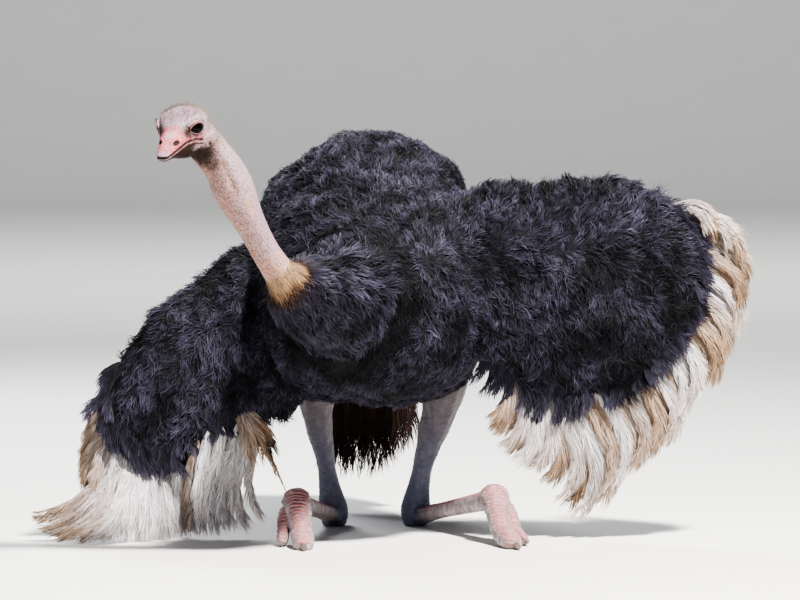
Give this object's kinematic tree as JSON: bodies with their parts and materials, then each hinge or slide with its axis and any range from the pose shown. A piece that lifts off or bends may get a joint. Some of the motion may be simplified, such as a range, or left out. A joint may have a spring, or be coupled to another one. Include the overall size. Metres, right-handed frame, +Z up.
{
  "type": "ostrich figure",
  "caption": "Life-size still model of a male ostrich kneeling in display, one wing raised and fanned, the other drooped to the ground, neck bent aside.",
  "frame": {"origin": "on the floor, at the centre of the whole model's footprint", "axes": "+Z up; the bird faces -Y, so its left side is +X"},
  "size_m": [1.8736, 1.6156, 1.1248],
  "materials": {
    "black_plumage": "soft loose black plumage",
    "white_plumes": "white and buff plumes",
    "brown_plumes": "dark brown plumes",
    "neck_skin": "fine matt skin with short down",
    "head_skin": "fine matt skin with short hairs",
    "bill_horn": "satin horn",
    "leg_skin": "matt wrinkled skin",
    "foot_scales": "satin scales",
    "claw_horn": "satin horn",
    "eye": "wet gloss"
  },
  "bodies": {
    "root": {"head": "head_skin", "bill_upper": "bill_horn", "bill_lower": "bill_horn", "eye_left": "eye", "eye_right": "eye", "neck_upper": "neck_skin", "neck_middle": "neck_skin", "neck_lower": "neck_skin", "neck_root": "black_plumage", "trunk": "black_plumage", "tail": "brown_plumes", "shank_left": "leg_skin", "shank_right": "leg_skin", "tarsus_left": "leg_skin", "tarsus_right": "leg_skin", "toe_main_left": "foot_scales", "toe_main_right": "foot_scales", "toe_outer_left": "foot_scales", "toe_outer_right": "foot_scales", "claw_main_left": "claw_horn", "claw_main_right": "claw_horn", "claw_outer_left": "claw_horn", "claw_outer_right": "claw_horn", "wing_left": "black_plumage", "wing_right": "black_plumage", "plumes_left": "white_plumes", "plumes_right": "white_plumes"}
  },
  "joints": []
}
